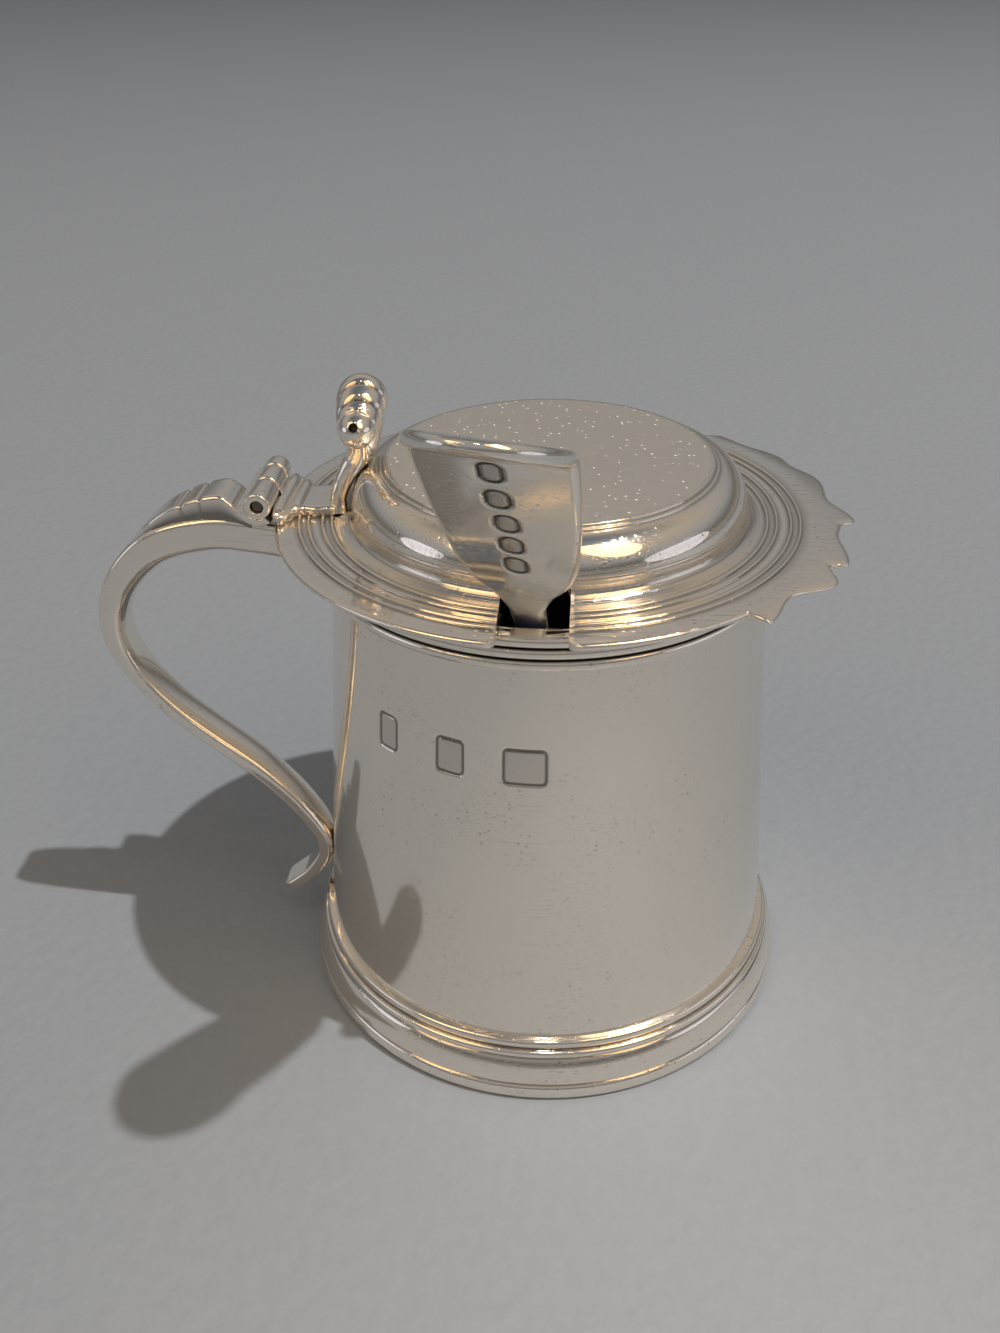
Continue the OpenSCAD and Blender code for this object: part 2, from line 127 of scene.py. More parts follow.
def silver(name, colour, rough, satin_rough):
    """Silver buffed on a mop: a mirror with a slow haze, fine wiping scratches and small dings, darker where
    tarnish sits in hollows and where shade is painted in (attribute tarnish), brushed where it was left
    satin (attribute satin) and finely lined where the turning tool ran (attribute turned, the way along the
    profile in millimetres)."""
    material, tree, shader, place = new_finish(name)
    satin, tarnish, turned_at = [add_node(tree, "ShaderNodeAttribute", attribute_name=mark).outputs["Fac"]
                                 for mark in ("satin", "tarnish", "turned")]
    haze_mm, ding_mm, tool_mm = 9, 0.8, 0.3
    haze = add_node(tree, "ShaderNodeTexNoise", {"Vector": place, "Scale": 1 / (haze_mm * MM), "Detail": 3.0})
    # Scratches of a wiping cloth are about 0.02 mm wide; they are drawn 0.12 mm wide so that they show
    scratch_w = 0.12
    scratches = []
    for turn, scratch_l in (((0.2, 0.5, 0.35), 9), ((0.9, -0.3, -0.7), 9), ((0.1, 0.05, 0.9), 2.5)):
        along = add_node(tree, "ShaderNodeMapping", {
            "Vector": place, "Rotation": turn,
            "Scale": (1 / (scratch_l * MM), 1 / (scratch_w * MM), 1 / (scratch_w * MM))})
        streak = add_node(tree, "ShaderNodeTexNoise", {"Vector": along, "Scale": 1.0, "Detail": 1.0})
        scratches.append(add_node(tree, "ShaderNodeMapRange",
                                  {"Value": streak, "From Min": 0.64, "From Max": 0.76}))
    first_wipe, second_wipe, short_brush = scratches
    wiped = add_node(tree, "ShaderNodeMath", {0: first_wipe, 1: second_wipe}, operation="MAXIMUM")
    brushed = add_node(tree, "ShaderNodeMath", {0: short_brush, 1: satin}, operation="MULTIPLY")
    scratched = add_node(tree, "ShaderNodeMath", {0: wiped, 1: brushed}, operation="MAXIMUM")
    # A ding in some of the cells: the cell's own grey level decides, so that they lie scattered
    cells = add_node(tree, "ShaderNodeTexVoronoi", {"Vector": place, "Scale": 1 / (ding_mm * MM)})
    picked = add_node(tree, "ShaderNodeMapRange", {
        "Value": cells.outputs["Color"], "From Min": 0.42, "From Max": 0.62})
    pit = add_node(tree, "ShaderNodeMapRange", {
        "Value": cells.outputs["Distance"], "From Min": 0.26, "From Max": 0.12})
    pitted = add_node(tree, "ShaderNodeMath", {0: pit, 1: picked}, operation="MULTIPLY")
    often = add_node(tree, "ShaderNodeMapRange", {"Value": satin, "To Min": 0.2, "To Max": 1.0})
    dings = add_node(tree, "ShaderNodeMath", {0: pitted, 1: often}, operation="MULTIPLY")
    # Haze, scratches, satin and dings each add to the roughness
    scratch_rough, ding_rough = 0.12, 0.4
    hazy = add_node(tree, "ShaderNodeMapRange",
                    {"Value": haze, "To Min": rough - 0.02, "To Max": rough + 0.03})
    lined = add_node(tree, "ShaderNodeMath", {0: scratched, 1: scratch_rough, 2: hazy},
                     operation="MULTIPLY_ADD")
    dulled = add_node(tree, "ShaderNodeMath", {0: satin, 1: satin_rough, 2: lined}, operation="MULTIPLY_ADD")
    frosted = add_node(tree, "ShaderNodeMath", {0: dings, 1: ding_rough, 2: dulled}, operation="MULTIPLY_ADD")
    # Where the haze lies thick, specks and scratches hold a trace of tarnish, but not on satin
    patchy = add_node(tree, "ShaderNodeMapRange", {
        "Value": haze, "From Min": 0.38, "From Max": 0.68, "To Max": 0.42})
    flaws = add_node(tree, "ShaderNodeMath", {0: pitted, 1: wiped}, operation="MAXIMUM")
    stained = add_node(tree, "ShaderNodeMath", {0: flaws, 1: patchy}, operation="MULTIPLY")
    bare = add_node(tree, "ShaderNodeMath", {0: 1.0, 1: satin}, operation="SUBTRACT")
    spotted = add_node(tree, "ShaderNodeMath", {0: stained, 1: bare}, operation="MULTIPLY")
    # Tarnish, stains and the painted shade carried with the tarnish all darken the colour towards #2E241B
    darkened = add_node(tree, "ShaderNodeMath", {0: tarnish, 1: spotted}, operation="MAXIMUM")
    tint = add_node(tree, "ShaderNodeMix", {"Factor": darkened, "A": srgb(colour), "B": srgb("#2E241B")},
                    data_type="RGBA")
    # A line of the turning tool is 11 times as deep as a scratch
    tool_deep = 11.0
    tool_lines = add_node(tree, "ShaderNodeTexNoise", {"W": turned_at, "Scale": 1 / tool_mm, "Detail": 2.0},
                          noise_dimensions="1D")
    cut = add_node(tree, "ShaderNodeMath", {0: tool_lines, 1: tool_deep, 2: scratched},
                   operation="MULTIPLY_ADD")
    relief = add_node(tree, "ShaderNodeBump", {"Height": cut, "Strength": 0.25, "Distance": 0.02 * MM},
                      invert=True)
    knocks = add_node(tree, "ShaderNodeBump", {"Height": dings, "Strength": 1.0, "Distance": 0.06 * MM,
                                               "Normal": relief}, invert=True)
    # The coat is a thin film of old polish that veils the mirror
    feed(tree, shader, {"Base Color": tint.outputs["Result"], "Roughness": frosted, "Normal": knocks,
                        "Metallic": 1.0, "Coat Weight": 0.8, "Coat Roughness": 0.45})
    return material


def add_piece(name, node, body, slot, material, shells, **marks):
    """One finished piece in place of a CAD node: its shells in one mesh, doubled points merged, faces turned
    outwards and shaded smooth but for flat ends and sharp edges. Its marks become point attributes: each is
    the number of its first point and the values from there on."""
    starts = np.cumsum([0] + [len(points) for points, sets in shells])
    faces = []
    for (points, sets), start in zip(shells, starts):
        for face_set in sets:
            faces += (face_set + start).tolist()
    mesh = bpy.data.meshes.new(name)
    mesh.from_pydata(np.vstack([points for points, sets in shells]) * MM, [], faces)
    for mark, (first, values) in marks.items():
        marked = np.zeros(len(mesh.vertices), np.float32)
        marked[first:first + values.size] = values.ravel()
        mesh.attributes.new(mark, "FLOAT", "POINT").data.foreach_set("value", marked)
    same_point, sharp_edge = 0.0005 * MM, np.radians(50)
    made = bmesh.new()
    made.from_mesh(mesh)
    bmesh.ops.remove_doubles(made, verts=made.verts, dist=same_point)
    bmesh.ops.recalc_face_normals(made, faces=made.faces)
    made.to_mesh(mesh)
    made.free()
    mesh.shade_smooth()
    corners = np.empty(len(mesh.polygons), np.int32)
    mesh.polygons.foreach_get("loop_total", corners)
    mesh.polygons.foreach_set("use_smooth", corners <= 4)
    mesh.set_sharp_from_angle(angle=sharp_edge)
    mesh.materials.append(material)
    piece = bpy.data.objects.new(name, mesh)
    bpy.context.scene.collection.objects.link(piece)
    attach(piece, body)
    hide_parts(node)


foot_r, foot_h = box_mm("foot_moulding")[1][[0, 2]]
rim_r, rim_z = box_mm("rim_moulding")[1][[0, 2]]
foot_out, rim_out = 2.45, 1.5
wall_low_r, wall_top_r = foot_r - foot_out, rim_r - rim_out
wall_z, wall_t, lip_h = box_mm("body_wall")[0][2], 0.9, 0.3


def wall_r(z):
    """Radius of the wall's outside: a straight taper from the top of the foot to the rim."""
    return wall_low_r + (wall_top_r - wall_low_r) * (z - foot_h) / (rim_z - foot_h)


punch_widths, punch_h, punch_corner, punch_deep = (3.0, 3.5, 4.9), 4.5, 0.8, 0.16
punch_z, punch_reach = 43.3, 4
punch_angles, punch_margin = np.radians([-129.6, -111.2, -92.8]), 0.15
# The grid is fine round the punches and coarse elsewhere
fine_z = np.linspace(punch_z - punch_reach, punch_z + punch_reach, 66)
wall_rows = np.concatenate([np.linspace(wall_z, fine_z[0], 12)[:-1], fine_z,
                            np.linspace(fine_z[-1], rim_z - lip_h, 8)[1:]])
fine_a = np.linspace(punch_angles[0] - punch_margin, punch_angles[-1] + punch_margin, 200)
wall_angles = np.concatenate([fine_a, np.linspace(fine_a[-1], fine_a[0] + 2 * np.pi, 180)[1:-1]])
punch_dent = sum(punched((wall_angles - a)[None, :] * wall_r(punch_z), (wall_rows - punch_z)[:, None],
                         w, punch_h, punch_corner, punch_deep) for a, w in zip(punch_angles, punch_widths))
dented_r = wall_r(wall_rows)[:, None] - punch_dent
wall_outside = np.stack([dented_r * np.cos(wall_angles), dented_r * np.sin(wall_angles),
                         wall_rows[:, None] + 0 * wall_angles], -1)
lip_turn = np.linspace(0, np.pi, 9)[1:]
lip_line = np.stack([wall_r(rim_z) - wall_t / 2 + wall_t / 2 * np.cos(lip_turn),
                     rim_z - lip_h + lip_h * np.sin(lip_turn)], -1)
wall_inside = turned(np.vstack([lip_line, [[wall_r(wall_z) - wall_t, wall_z]]]), wall_angles)
polished = silver("polished_silver", "#F5EEE3", 0.055, 0.28)
add_piece("wall", "body_wall", "pot", "silver", polished,
          [shell(np.vstack([wall_outside, wall_inside]), True)],
          tarnish=(0, 0.8 * np.clip(punch_dent / punch_deep, 0, 1)))

# Base plate
# A disc of sheet silver let into the wall a little above the table and soldered round its edge.
# It is plain and flat, so the CAD solid stays and takes the polished finish.
frame["nodes"]["base_plate"].data.materials.clear()
frame["nodes"]["base_plate"].data.materials.append(polished)

# Foot moulding
# A drawn silver moulding bent to a ring and soldered round the base: a flat ring on the table,
# a broad ovolo over a groove, and two small beads that lead up to the wall.


def unit(v):
    """Vectors of length one: v / |v|."""
    return v / np.maximum(np.linalg.norm(v, axis=-1, keepdims=True), 1e-9)


def run_along(line):
    """Way along a line to each of its points: the sum of the steps before it."""
    return np.concatenate([[0], np.cumsum(np.linalg.norm(np.diff(line, axis=0), axis=1))])


def outward(line, way):
    """Unit normals out of a closed outline that runs along a way: (dy, -dx) times the sign of its area."""
    ahead = np.roll(line, -1, 0)
    area = np.sum(line[:, 0] * ahead[:, 1] - ahead[:, 0] * line[:, 1])
    return unit(np.stack([way[:, 1], -way[:, 0]], -1)) * np.sign(area)


def hollows(line, reach=0.5, full=0.12):
    """How hollow a closed outline is at each point, from 0 to 1: the middle of the two points a reach away,
    less the point itself, measured along the outward normal and divided by the full depth."""
    ring = np.vstack([line, line[:1]])
    s = run_along(ring)

    def at(where):
        return np.stack([np.interp(where % s[-1], s, ring[:, k]) for k in (0, 1)], -1)

    probe = 0.05
    way = at(s[:-1] + probe) - at(s[:-1] - probe)
    middle = (at(s[:-1] + reach) + at(s[:-1] - reach)) / 2
    return np.clip(np.sum((middle - line) * outward(line, way), -1) / full, 0, 1)


def arc(x, y, rx, ry, start, end, steps):
    """Part of an ellipse: (x + rx cos a, y + ry sin a) for a from start to end, in degrees."""
    a = np.radians(np.linspace(start, end, steps))
    return np.stack([x + rx * np.cos(a), y + ry * np.sin(a)], -1)


round_angles = np.linspace(0, 2 * np.pi, 288, endpoint=False)
# Both mouldings reach a little into the wall, so that no gap shows
into_wall = 0.2
foot_ring = arc(foot_r - 0.55, 1.05, 0.55, 1.05, -75, 72, 12)
foot_groove = arc(foot_r - 0.42, 2.26, 0.12, 0.14, -110, -250, 5)
foot_ovolo = arc(foot_r - 5.45, 2.45, 5.2, 5.2, 0, 34, 20)
lower_bead = arc(foot_r - 1.58, 5.95, 0.42, 0.52, -55, 75, 11)
bead_groove = arc(foot_r - 1.55, 6.52, 0.1, 0.08, -110, -250, 4)
upper_bead = arc(foot_r - 2.02, 7.1, 0.42, 0.6, -50, 88, 11)
foot_line = np.vstack([[[wall_r(0) - 0.3, 0.05], [foot_r - 0.9, 0.0]], foot_ring, foot_groove, foot_ovolo,
                       lower_bead, bead_groove, upper_bead, [[wall_r(foot_h) - into_wall, foot_h - 0.02]]])
add_piece("foot", "foot_moulding", "pot", "silver", polished,
          [shell(turned(foot_line, round_angles), True)],
          tarnish=(0, np.repeat(0.7 * hollows(foot_line), len(round_angles))))

# Rim moulding
# A drawn strip of silver with three reeds, bent to a ring and soldered round the mouth to stiffen it.
# Tarnish darkens the two grooves between the reeds, and their black is deepened further as painted shade.
rim_low = box_mm("rim_moulding")[0][2]
reeds, reed_deep = 3, 0.55
reed_h = (rim_z - rim_low) / reeds
rim_line = np.vstack([
    [[wall_r(rim_z) - into_wall, rim_z - 0.02], [wall_r(rim_low) - into_wall, rim_low]],
    *[arc(rim_r - reed_deep, rim_low + reed_h * (k + 0.5), reed_deep, reed_h * 0.5, -84, 84, 14)
      for k in range(reeds)]])
# The black thins out from 0.12 to 0.22 mm above and below each groove
groove_z, groove_end, groove_fade = rim_low + reed_h * np.arange(1, reeds), 0.22, 0.1
from_groove = np.abs(rim_line[:, 1:] - groove_z).min(1)
rim_tarnish = smooth((groove_end - from_groove) / groove_fade)
add_piece("rim", "rim_moulding", "pot", "silver", polished,
          [shell(turned(rim_line, round_angles), True)],
          tarnish=(0, np.repeat(rim_tarnish, len(round_angles))))

# Glass liner
# A plain cup of cobalt blue glass that keeps the mustard off the silver. It stands loose inside the wall,
# is blown in a mould and has a fire-polished edge.


def rounded(corners, steps=6):
    """Closed outline through corners (x, y, reach), each rounded by the parabola
    (1-s)^2 A + 2s(1-s) C + s^2 B from a reach before it to a reach after it."""
    c = np.array(corners, float)
    at, reach = c[:, :2], c[:, 2:]
    back, ahead = np.roll(at, 1, 0) - at, np.roll(at, -1, 0) - at
    back_l, ahead_l = np.linalg.norm(back, axis=1)[:, None], np.linalg.norm(ahead, axis=1)[:, None]
    first = at + back / back_l * np.minimum(reach, 0.45 * back_l)
    last = at + ahead / ahead_l * np.minimum(reach, 0.45 * ahead_l)
    s = np.linspace(0, 1, steps)[None, :, None]
    arcs = (1 - s) ** 2 * first[:, None] + 2 * s * (1 - s) * at[:, None] + s ** 2 * last[:, None]
    return arcs.reshape(-1, 2)


liner_low, (liner_r, liner_top) = box_mm("glass_liner")[0][2], box_mm("glass_liner")[1][[0, 2]]
liner_t, liner_edge, liner_corner, cup_corner = 1.5, 0.7, 2.4, 3.0
cup_r, cup_low = liner_r - liner_t, liner_low + liner_t
liner_line = rounded([
    (0.0, liner_low, 0), (liner_r, liner_low, liner_corner), (liner_r, liner_top, liner_edge),
    (cup_r, liner_top, liner_edge), (cup_r, cup_low, cup_corner), (0.0, cup_low, 0)], 8)
blue_glass, glass_tree, glass, glass_place = new_finish("cobalt_glass")
# Moulded glass is faintly wavy, with waves a few millimetres long
wave_mm = 5
waves = add_node(glass_tree, "ShaderNodeTexNoise",
                 {"Vector": glass_place, "Scale": 1 / (wave_mm * MM), "Detail": 2.0})
glass_tint = add_node(glass_tree, "ShaderNodeMix",
                      {"Factor": waves, "A": srgb("#1E3A9A"), "B": srgb("#2C4CB4")}, data_type="RGBA")
glass_rough = add_node(glass_tree, "ShaderNodeMapRange", {"Value": waves, "To Min": 0.01, "To Max": 0.05})
feed(glass_tree, glass, {"Base Color": glass_tint.outputs["Result"], "Roughness": glass_rough,
                         "Transmission Weight": 0.4, "IOR": 1.52})
add_piece("liner", "glass_liner", "pot", "liner_glass", blue_glass,
          [shell(turned(liner_line, round_angles), True)])

# Handle
# One solid casting of D section, flat outside and round towards the hand, filed up and soldered to the wall.
# It springs from below the rim, swings down to touch the wall and turns out in a small tongue.


def smooth_line(points, steps):
    """Catmull-Rom curve through the points: each span is
    (2b + (c-a)u + (2a-5b+4c-d)u^2 + (3b-a-3c+d)u^3) / 2 for u from 0 to 1."""
    p = np.array(points, float)
    a, b, c, d = np.vstack([p[:1], p[:-2]]), p[:-1], p[1:], np.vstack([p[2:], p[-1:]])
    a, b, c, d = a[:, None], b[:, None], c[:, None], d[:, None]
    u = np.linspace(0, 1, steps, endpoint=False)[None, :, None]
    spans = (2 * b + (c - a) * u + (2 * a - 5 * b + 4 * c - d) * u ** 2
             + (3 * b - a - 3 * c + d) * u ** 3) / 2
    return np.vstack([spans.reshape(-1, p.shape[1]), p[-1:]])


def capped(rings):
    """Rings of points closed at both ends by their middles."""
    return np.concatenate([rings[:1].mean(1, keepdims=True) + 0 * rings[:1], rings,
                           rings[-1:].mean(1, keepdims=True) + 0 * rings[-1:]])


handle_steps = 14
handle_line = smooth_line([
    (-23.7, 55.5), (-31.98, 56.9), (-38.34, 57.2), (-45.29, 54.88), (-50.2, 48.79), (-50.47, 41.59),
    (-45.41, 33.61), (-35.17, 24.3), (-29.99, 17.6), (-28.2, 12.8), (-30.32, 8.38), (-34.31, 4.91)],
    handle_steps)
handle_share = np.linspace(0, 1, len(handle_line))
handle_way = unit(np.gradient(handle_line, axis=0))
handle_out = np.stack([handle_way[:, 1], -handle_way[:, 0]], -1)
handle_run = run_along(handle_line)
# It is thick at the top, thins out over its shoulder, narrows all the way and ends in a round tip
top_depth, low_depth, top_width, low_width, tip_l = 4.6, 2.1, 6.4, 4.0, 1.6
handle_tip = np.clip((handle_run - handle_run[-1] + tip_l) / tip_l, 0, 1)
handle_width = (top_width - (top_width - low_width) * handle_share) * np.sqrt(1 - 0.97 * handle_tip ** 2)
handle_depth = top_depth - (top_depth - low_depth) * smooth((handle_share - 0.2) / 0.33)
handle_depth = handle_depth * np.sqrt(1 - 0.7 * handle_tip ** 4)
handle_edge = 0.5 * handle_depth / top_depth + 0.1
side_edge = np.minimum(handle_edge, handle_width / 2)
# A section point is (depth share, edge share, width share, edge share): a flat back, round corners,
# straight sides and an elliptical inside
back_across = np.linspace(-1, 1, 9)
corner_turn = np.radians(np.linspace(90, 0, 6))[1:]
belly_turn = np.radians(np.linspace(0, 180, 25))
back_face = np.stack([0.5 + 0 * back_across, 0 * back_across, 0.5 * back_across, -back_across], -1)
near_corner = np.stack([0.5 + 0 * corner_turn, np.sin(corner_turn) - 1,
                        0.5 + 0 * corner_turn, np.cos(corner_turn) - 1], -1)
belly = np.stack([-0.08 - 0.42 * np.sin(belly_turn), 0 * belly_turn,
                  0.5 * np.cos(belly_turn), 0 * belly_turn], -1)
far_corner = near_corner[::-1] * [1, 1, -1, -1]
handle_section = np.vstack([back_face, near_corner, belly, far_corner])
section_out = handle_section[:, 0] * handle_depth[:, None] + handle_section[:, 1] * handle_edge[:, None]
section_side = handle_section[:, 2] * handle_width[:, None] + handle_section[:, 3] * side_edge[:, None]
handle_rings = np.stack([handle_line[:, :1] + handle_out[:, :1] * section_out, section_side,
                         handle_line[:, 1:] + handle_out[:, 1:] * section_out], -1)
add_piece("scroll_handle", "handle", "pot", "silver", polished, [shell(capped(handle_rings))])

# Hinge strap on the handle
# A cast strap soldered along the top of the handle: it cradles the barrel of the hinge, dips behind it,
# rises to a hump and runs out over two filed grooves to a rounded end.
hinge = next(joint for joint in frame["record"]["behaviour"]["joints"] if joint["type"] == "hinge")
hinge_x, hinge_z = hinge["pos_m"][0] / MM, hinge["pos_m"][2] / MM
near_low, near_high = box_mm("hinge_knuckle_near")
knuckle_r = (near_high - near_low)[0] / 2
barrel_low, barrel_high = near_low[1], box_mm("hinge_knuckle_far")[1][1]


def spun(line, x, z, turn):
    """Surface turned about an axis along Y through (x, z): the point (y_i, r_i) of the line at the angle a_j
    of the turn is (x + r_i cos a_j, y_i, z + r_i sin a_j)."""
    y, r = line[:, :1], line[:, 1:]
    return np.stack([x + r * np.cos(turn), y + 0 * turn, z + r * np.sin(turn)], -1)


def extruded(outline, low, high, edge):
    """A closed outline in X and Z made solid between Y = low and high, its ends drawn in by an edge."""
    inward = -outward(outline, np.roll(outline, -1, 0) - np.roll(outline, 1, 0))
    steps = np.radians([90, 60, 30, 0])
    draw = np.concatenate([1 - np.cos(steps), 1 - np.cos(steps[::-1])]) * edge
    y = np.concatenate([low + edge * (1 - np.sin(steps)), high - edge * (1 - np.sin(steps[::-1]))])
    rings = outline[None] + inward[None] * draw[:, None, None]
    points, quads = shell(np.stack([rings[..., 0], y[:, None] + 0 * rings[..., 0], rings[..., 1]], -1))
    first_end = np.arange(len(outline))
    return points, [*quads, np.stack([first_end, first_end + len(points) - len(outline)])]


strap_top = smooth_line([(-32.6, 60.55), (-33.3, 60.3), (-34.1, 60.75), (-34.9, 61.6), (-36.1, 62.3),
                         (-38.2, 62.0), (-40.4, 61.25), (-43.0, 59.95), (-45.2, 58.25), (-46.2, 57.2)], 16)
strap_x = strap_top[:, 0]
# The strap follows the back of the handle's first five spans and is sunk into it
handle_back = (handle_line + handle_out * handle_depth[:, None] / 2)[:5 * handle_steps]
strap_sunk, strap_edge, least_rise = 0.5, 0.4, 0.6
strap_seat = np.interp(-strap_x, -handle_back[:, 0], handle_back[:, 1]) - strap_sunk
filed_at, filed_w, filed_deep, filed_in = (-38.4, -40.6), 0.22, 0.3, 0.15
filed = sum(np.exp(-((strap_x - at) / filed_w) ** 2) for at in filed_at)
strap_rise = np.maximum(strap_top[:, 1] - strap_seat, least_rise) - filed_deep * filed
strap_half = np.interp(-strap_x, [32.6, 33.4, 35.2, 41, 44.6, 45.6, 46.2],
                       [3.1, 3.0, 2.8, 2.5, 2.1, 1.6, 0.6]) - filed_in * filed
# A section point is (width share, edge share, height share, edge share): up one side, over and down the other
left_turn, right_turn = np.radians(np.linspace(180, 90, 6)), np.radians(np.linspace(90, 0, 6))
strap_over = np.linspace(-1, 1, 9)[1:-1]
strap_section = np.vstack([
    [[-1, -1, 0, 0], [-1, -1, 0.45, 0]],
    np.stack([-1 + 0 * left_turn, np.cos(left_turn), 1 + 0 * left_turn, np.sin(left_turn)], -1),
    np.stack([strap_over, 0 * strap_over, 1 + 0 * strap_over, 1 + 0 * strap_over], -1),
    np.stack([1 + 0 * right_turn, np.cos(right_turn), 1 + 0 * right_turn, np.sin(right_turn)], -1),
    [[1, 1, 0.45, 0], [1, 1, 0, 0]]])
strap_rings = np.stack([
    strap_x[:, None] + 0 * strap_section[:, 0],
    (strap_half - strap_edge)[:, None] * strap_section[:, 0] + strap_edge * strap_section[:, 1],
    (strap_seat[:, None] + (strap_rise - strap_edge)[:, None] * strap_section[:, 2]
     + strap_edge * strap_section[:, 3])], -1)
cradle_in, cradle_out = knuckle_r - 0.06, knuckle_r + 0.75
cradle_line = rounded([(barrel_low, cradle_in, 0.1), (barrel_low, cradle_out, 0.3),
                       (barrel_high, cradle_out, 0.3), (barrel_high, cradle_in, 0.1)])
cradle = spun(cradle_line, hinge_x, hinge_z, np.radians(np.linspace(180, 306, 30)))
heel_half, heel_edge = 2.9, 0.2
heel_line = rounded([(hinge_x - 2.6, hinge_z - 1.6, 0.3), (hinge_x - 0.4, hinge_z - 1.7, 0.3),
                     (hinge_x + 0.2, hinge_z - 2.6, 0.3), (hinge_x + 0.2, hinge_z - 4.4, 0.3),
                     (hinge_x - 2.6, hinge_z - 4.4, 0.3)])
strap_shells = [shell(capped(strap_rings)), shell(capped(cradle.transpose(1, 0, 2))),
                extruded(heel_line, -heel_half, heel_half, heel_edge)]
# Tarnish and old polish sit along the foot of the strap's sides and in its grooves
strap_foot = strap_section[:, 2] < 0.5
strap_marks = 0.75 * strap_foot + 0.5 * np.clip(filed, 0, 1)[:, None] * ~strap_foot
add_piece("handle_hinge_strap", "handle_strap", "pot", "silver", polished, strap_shells,
          tarnish=(len(strap_section), strap_marks))

# Hinge knuckles
# Three lengths of drawn silver tube make the barrel: the outer two are soldered to the handle's strap
# and the middle one to the lid's. Their ends are filed slightly round.
pin_low, pin_high = box_mm("hinge_pin")
pin_r = (pin_high - pin_low)[0] / 2
bore_r, bore_edge, tube_edge = pin_r + 0.03, 0.15, 0.42
tube_turn = np.linspace(0, 2 * np.pi, 64, endpoint=False)
for name, node, body in (("near_knuckle", "hinge_knuckle_near", "pot"),
                         ("far_knuckle", "hinge_knuckle_far", "pot"),
                         ("lid_knuckle", "hinge_knuckle_lid", "lid")):
    low, high = box_mm(node)[:, 1]
    tube_line = rounded([(low, bore_r, bore_edge), (low, knuckle_r, tube_edge),
                         (high, knuckle_r, tube_edge), (high, bore_r, bore_edge)], 7)
    add_piece(name, node, body, "silver", polished,
              [shell(spun(tube_line, hinge_x, hinge_z, tube_turn), True)])

# Hinge pin
# A length of hard silver wire driven through the barrel, its ends a little below the ends of the knuckles.
# It is left as drawn, so it is duller than the buffed pieces; its dark colour is partly tarnish and partly
# painted shade, as its ends sit deep in the bore.
pin_edge = 0.25
pin_line = rounded([(pin_low[1], 0.0, 0), (pin_low[1], pin_r, pin_edge),
                    (pin_high[1], pin_r, pin_edge), (pin_high[1], 0.0, 0)])
wire = silver("drawn_silver_wire", "#5E574C", 0.35, 0.1)
add_piece("pin", "hinge_pin", "pot", "pin_silver", wire,
          [shell(spun(pin_line, hinge_x, hinge_z, tube_turn), True)])

# Lid
# One raised sheet: a flat satin top within a double step, a round shoulder, a hollow and a flange with two
# pairs of raised rings. Its front edge is sawn into a cusped peak, and its side is notched for the spoon.
lid_low, lid_high = box_mm("lid_cover")
lid_top, flange_z = lid_high[2], lid_low[2]
flange_top = flange_z + 1.6
flange_r, peak_r = -lid_low[0], lid_high[0]
lid_t, edge_t, edge_w = 0.9, 0.7, 0.35
top_r, step_r, dome_r = 17.8, 18.25, 21.5
hollow_w, hollow_h = 1.7, 1.4
shoulder_z, shoulder_top = flange_top + hollow_h, lid_top - 0.62
quarter = np.linspace(0, np.pi / 2, 25)
flat_line = np.array([[0, lid_top], [6, lid_top], [12, lid_top], [17.2, lid_top]])
step_line = np.vstack([arc(top_r - 0.2, lid_top - 0.2, 0.2, 0.2, 90, 0, 6),
                       arc(top_r + 0.1, lid_top - 0.3, 0.1, 0.06, 180, 270, 4),
                       arc(step_r - 0.12, lid_top - 0.48, 0.12, 0.12, 90, 0, 5),
                       [[step_r + 0.02, shoulder_top]]])
shoulder_line = np.stack([step_r + 0.05 + (dome_r - step_r - 0.05) * np.sin(quarter),
                          shoulder_z + (shoulder_top - 0.02 - shoulder_z) * np.cos(quarter)], -1)
hollow_line = np.stack([dome_r + hollow_w * (1 - np.cos(quarter[1::2])),
                        shoulder_z - hollow_h * np.sin(quarter[1::2])], -1)
ring_at, ring_w, ring_h = flange_r - np.array([6.2, 5.2, 3.7, 2.7]), 0.2, 0.24
band_start = flange_r - 2.3
ring_r = np.linspace(dome_r + hollow_w + 0.06, band_start, 84)
from_ring = np.min(np.abs(ring_r[:, None] - ring_at), 1)
ring_z = flange_top + ring_h * np.sqrt(np.maximum(0, 1 - (from_ring / ring_w) ** 2))
band_r = np.linspace(band_start, flange_r - edge_w, 6)[1:]
edge_line = arc(flange_r - edge_w, flange_top - edge_t / 2, edge_w, edge_t / 2, 90, 0, 6)[1:]
top_line = np.vstack([flat_line, step_line, shoulder_line, hollow_line, np.stack([ring_r, ring_z], -1),
                      np.stack([band_r, flange_top + 0 * band_r], -1), edge_line])
in_r, in_top_r, in_step = dome_r - lid_t, top_r - lid_t, 0.1
slope_r = rim_r + 0.8


def flange_under(r):
    """Underside of the flange: flat over the rim, then rising to the thin edge."""
    rise = (flange_top - edge_t - flange_z) / (flange_r - edge_w - slope_r)
    return np.stack([r, flange_z + np.maximum(0, r - slope_r) * rise], -1)


# The underside has one point for each point of the top
under_line = np.vstack([
    np.stack([np.minimum(flat_line[:, 0], in_top_r), lid_top - lid_t + 0 * flat_line[:, 0]], -1),
    np.stack([np.linspace(in_top_r, in_top_r + in_step, len(step_line)),
              lid_top - lid_t + 0 * step_line[:, 0]], -1),
    np.stack([in_top_r + in_step + (in_r - in_top_r - in_step) * np.sin(quarter),
              flange_top + (lid_top - lid_t - flange_top) * np.cos(quarter)], -1),
    np.stack([in_r + 0 * hollow_line[:, 0], np.linspace(flange_top, flange_z, len(hollow_line) + 1)[1:]], -1),
    flange_under(ring_r), flange_under(band_r),
    arc(flange_r - edge_w, flange_top - edge_t / 2, edge_w, edge_t / 2, -90, 0, 6)[1:]])

